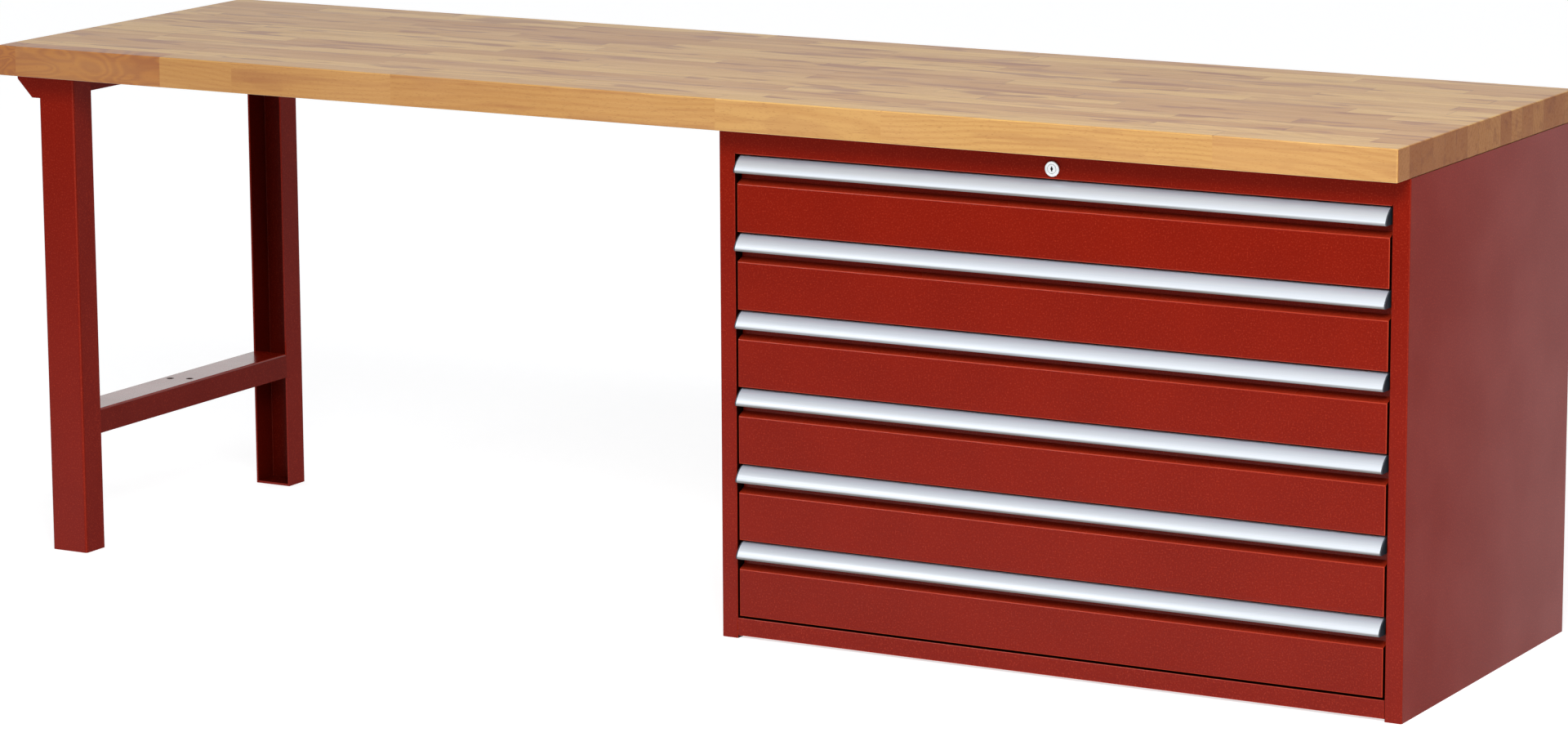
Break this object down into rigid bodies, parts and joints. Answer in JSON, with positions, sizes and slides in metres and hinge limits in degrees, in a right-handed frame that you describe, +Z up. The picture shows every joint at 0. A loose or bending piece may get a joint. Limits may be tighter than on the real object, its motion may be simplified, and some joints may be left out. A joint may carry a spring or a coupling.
{
  "type": "workbench with drawers",
  "caption": "Long workbench: laminated wood top on a leg frame at one end and a lockable full-height drawer cabinet with full-width metal grips at the other.",
  "frame": {"origin": "on the floor, under the middle of the bench's outline", "axes": "+X along the bench towards the cabinet end, +Y from the front to the back, +Z up"},
  "size_m": [2.5, 0.7, 0.86],
  "materials": {
    "beech_wood": "oiled",
    "red_powder_coat": "semi-gloss powder coat",
    "grey_powder_coat": "satin powder coat",
    "anodised_grip": "satin anodised",
    "dark_plastic": "matte",
    "galvanised_steel": "zinc plated",
    "polished_lock": "polished nickel"
  },
  "bodies": {
    "bench": {"tabletop": "beech_wood", "cabinet_side_left": "red_powder_coat", "cabinet_side_right": "red_powder_coat", "cabinet_back": "red_powder_coat", "cabinet_top_rail": "red_powder_coat", "cabinet_plinth_rail": "red_powder_coat", "cabinet_bottom": "red_powder_coat", "cabinet_bolt_plate": "red_powder_coat", "slide_posts": "galvanised_steel", "slide_rails": "galvanised_steel", "lock_housing": "polished_lock", "lock_nut": "galvanised_steel", "lock_guides": "dark_plastic", "leg_front": "red_powder_coat", "leg_back": "red_powder_coat", "leg_crossbar": "red_powder_coat", "leg_head_rail": "red_powder_coat", "leg_top_plate": "red_powder_coat", "leg_foot_plates": "red_powder_coat", "top_screws": "galvanised_steel"},
    "drawer_1": {"drawer_tray_1": "grey_powder_coat", "drawer_front_1": "red_powder_coat", "drawer_grip_1": "anodised_grip", "grip_caps_1": "dark_plastic", "slide_inner_1": "galvanised_steel"},
    "slides_1": {"slide_middle_1": "galvanised_steel"},
    "drawer_2": {"drawer_tray_2": "grey_powder_coat", "drawer_front_2": "red_powder_coat", "drawer_grip_2": "anodised_grip", "grip_caps_2": "dark_plastic", "slide_inner_2": "galvanised_steel"},
    "slides_2": {"slide_middle_2": "galvanised_steel"},
    "drawer_3": {"drawer_tray_3": "grey_powder_coat", "drawer_front_3": "red_powder_coat", "drawer_grip_3": "anodised_grip", "grip_caps_3": "dark_plastic", "slide_inner_3": "galvanised_steel"},
    "slides_3": {"slide_middle_3": "galvanised_steel"},
    "drawer_4": {"drawer_tray_4": "grey_powder_coat", "drawer_front_4": "red_powder_coat", "drawer_grip_4": "anodised_grip", "grip_caps_4": "dark_plastic", "slide_inner_4": "galvanised_steel"},
    "slides_4": {"slide_middle_4": "galvanised_steel"},
    "drawer_5": {"drawer_tray_5": "grey_powder_coat", "drawer_front_5": "red_powder_coat", "drawer_grip_5": "anodised_grip", "grip_caps_5": "dark_plastic", "slide_inner_5": "galvanised_steel"},
    "slides_5": {"slide_middle_5": "galvanised_steel"},
    "drawer_6": {"drawer_tray_6": "grey_powder_coat", "drawer_front_6": "red_powder_coat", "drawer_grip_6": "anodised_grip", "grip_caps_6": "dark_plastic", "slide_inner_6": "galvanised_steel"},
    "slides_6": {"slide_middle_6": "galvanised_steel"},
    "lock_cylinder": {"lock_cylinder": "polished_lock", "lock_shaft": "galvanised_steel"},
    "lock_bar": {"lock_bar": "galvanised_steel"}
  },
  "joints": [
    {"name": "drawer_1_slide", "type": "slide", "parent": "bench", "child": "drawer_1", "axis": [0, -1, 0], "range_m": [0, 0.55]},
    {"name": "slides_1_follow", "type": "slide", "parent": "bench", "child": "slides_1", "axis": [0, -1, 0], "range_m": [0, 0.275]},
    {"name": "drawer_2_slide", "type": "slide", "parent": "bench", "child": "drawer_2", "axis": [0, -1, 0], "range_m": [0, 0.55]},
    {"name": "slides_2_follow", "type": "slide", "parent": "bench", "child": "slides_2", "axis": [0, -1, 0], "range_m": [0, 0.275]},
    {"name": "drawer_3_slide", "type": "slide", "parent": "bench", "child": "drawer_3", "axis": [0, -1, 0], "range_m": [0, 0.55]},
    {"name": "slides_3_follow", "type": "slide", "parent": "bench", "child": "slides_3", "axis": [0, -1, 0], "range_m": [0, 0.275]},
    {"name": "drawer_4_slide", "type": "slide", "parent": "bench", "child": "drawer_4", "axis": [0, -1, 0], "range_m": [0, 0.55]},
    {"name": "slides_4_follow", "type": "slide", "parent": "bench", "child": "slides_4", "axis": [0, -1, 0], "range_m": [0, 0.275]},
    {"name": "drawer_5_slide", "type": "slide", "parent": "bench", "child": "drawer_5", "axis": [0, -1, 0], "range_m": [0, 0.55]},
    {"name": "slides_5_follow", "type": "slide", "parent": "bench", "child": "slides_5", "axis": [0, -1, 0], "range_m": [0, 0.275]},
    {"name": "drawer_6_slide", "type": "slide", "parent": "bench", "child": "drawer_6", "axis": [0, -1, 0], "range_m": [0, 0.55]},
    {"name": "slides_6_follow", "type": "slide", "parent": "bench", "child": "slides_6", "axis": [0, -1, 0], "range_m": [0, 0.275]},
    {"name": "lock_turn", "type": "hinge", "parent": "bench", "child": "lock_cylinder", "pos_m": [0.675, -0.304, 0.784], "axis": [0, 1, 0], "range_deg": [0, 90]},
    {"name": "lock_bar_lift", "type": "slide", "parent": "bench", "child": "lock_bar", "axis": [0, 0, 1], "range_m": [0, 0.0102]}
  ],
  "couplings": [
    {"joint": "slides_1_follow", "follows": "drawer_1_slide", "ratio": 0.5},
    {"joint": "slides_2_follow", "follows": "drawer_2_slide", "ratio": 0.5},
    {"joint": "slides_3_follow", "follows": "drawer_3_slide", "ratio": 0.5},
    {"joint": "slides_4_follow", "follows": "drawer_4_slide", "ratio": 0.5},
    {"joint": "slides_5_follow", "follows": "drawer_5_slide", "ratio": 0.5},
    {"joint": "slides_6_follow", "follows": "drawer_6_slide", "ratio": 0.5},
    {"joint": "lock_bar_lift", "follows": "lock_turn", "m_per_rad": 0.0063662}
  ]
}
